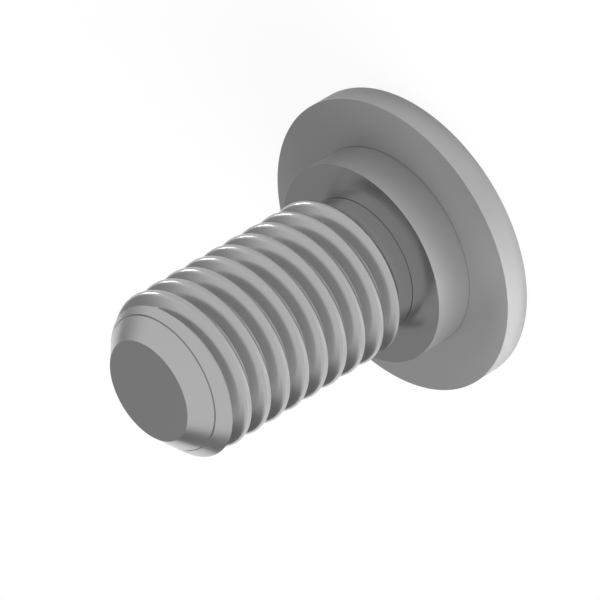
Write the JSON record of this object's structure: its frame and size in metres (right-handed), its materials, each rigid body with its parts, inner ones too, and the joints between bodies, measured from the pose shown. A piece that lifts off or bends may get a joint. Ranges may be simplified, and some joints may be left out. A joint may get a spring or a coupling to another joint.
{
  "type": "star drive screw",
  "caption": "Flat-headed screw with a locating collar, a plain neck, a coarse metric thread, a bevelled point and a six-lobe drive socket.",
  "frame": {"origin": "centre of the head's flat top face, which the screw stands on", "axes": "+Z along the screw's axis from the head to the point; one lobe of the drive socket lies along +X"},
  "size_m": [0.0186, 0.0186, 0.0209],
  "materials": {
    "screw_steel": "satin"
  },
  "bodies": {
    "root": {"screw": "screw_steel"}
  },
  "joints": []
}
